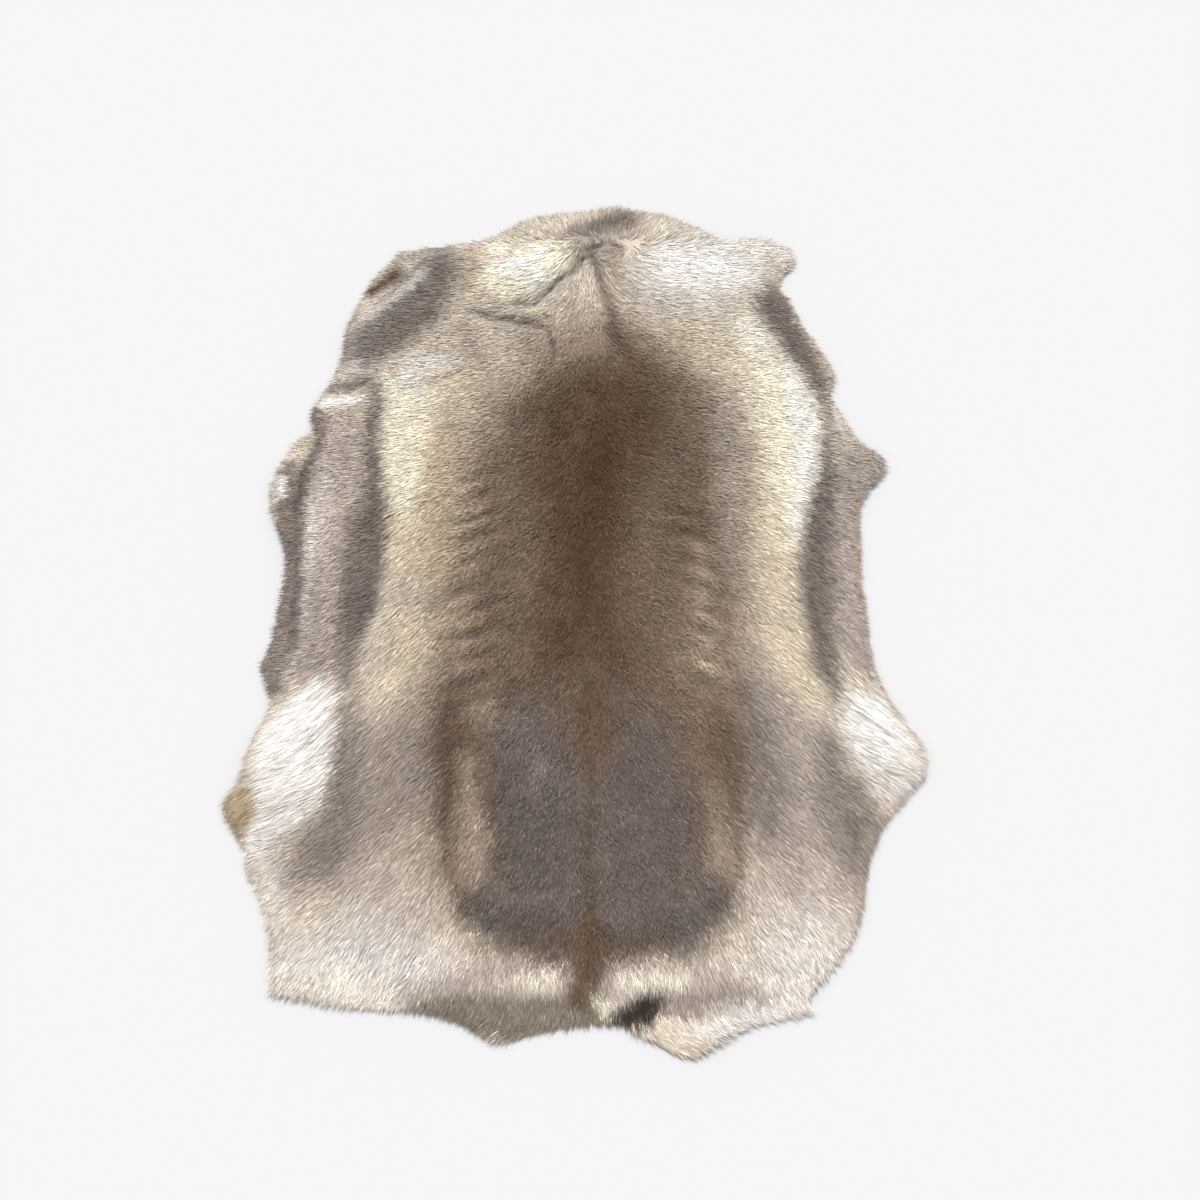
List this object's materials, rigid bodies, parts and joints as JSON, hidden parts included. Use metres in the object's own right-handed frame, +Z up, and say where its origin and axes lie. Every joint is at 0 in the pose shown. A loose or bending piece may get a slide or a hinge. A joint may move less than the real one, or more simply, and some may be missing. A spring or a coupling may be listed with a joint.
{
  "type": "reindeer hide",
  "caption": "Reindeer hide tanned with its hair on, lying flat hair side up, for use as a rug or a throw.",
  "frame": {"origin": "on the flat flesh side, under the spine at half the hide's length", "axes": "+Y along the spine towards the neck, +X towards the animal's right flank, +Z up through the hair"},
  "size_m": [0.9365, 1.2948, 0.0323],
  "materials": {
    "coat": "dense lying hair, brown-grey back, cream bands and pale flanks",
    "leather": "soft off-white suede on the flesh side"
  },
  "bodies": {
    "root": {"hide": "coat"}
  },
  "joints": []
}
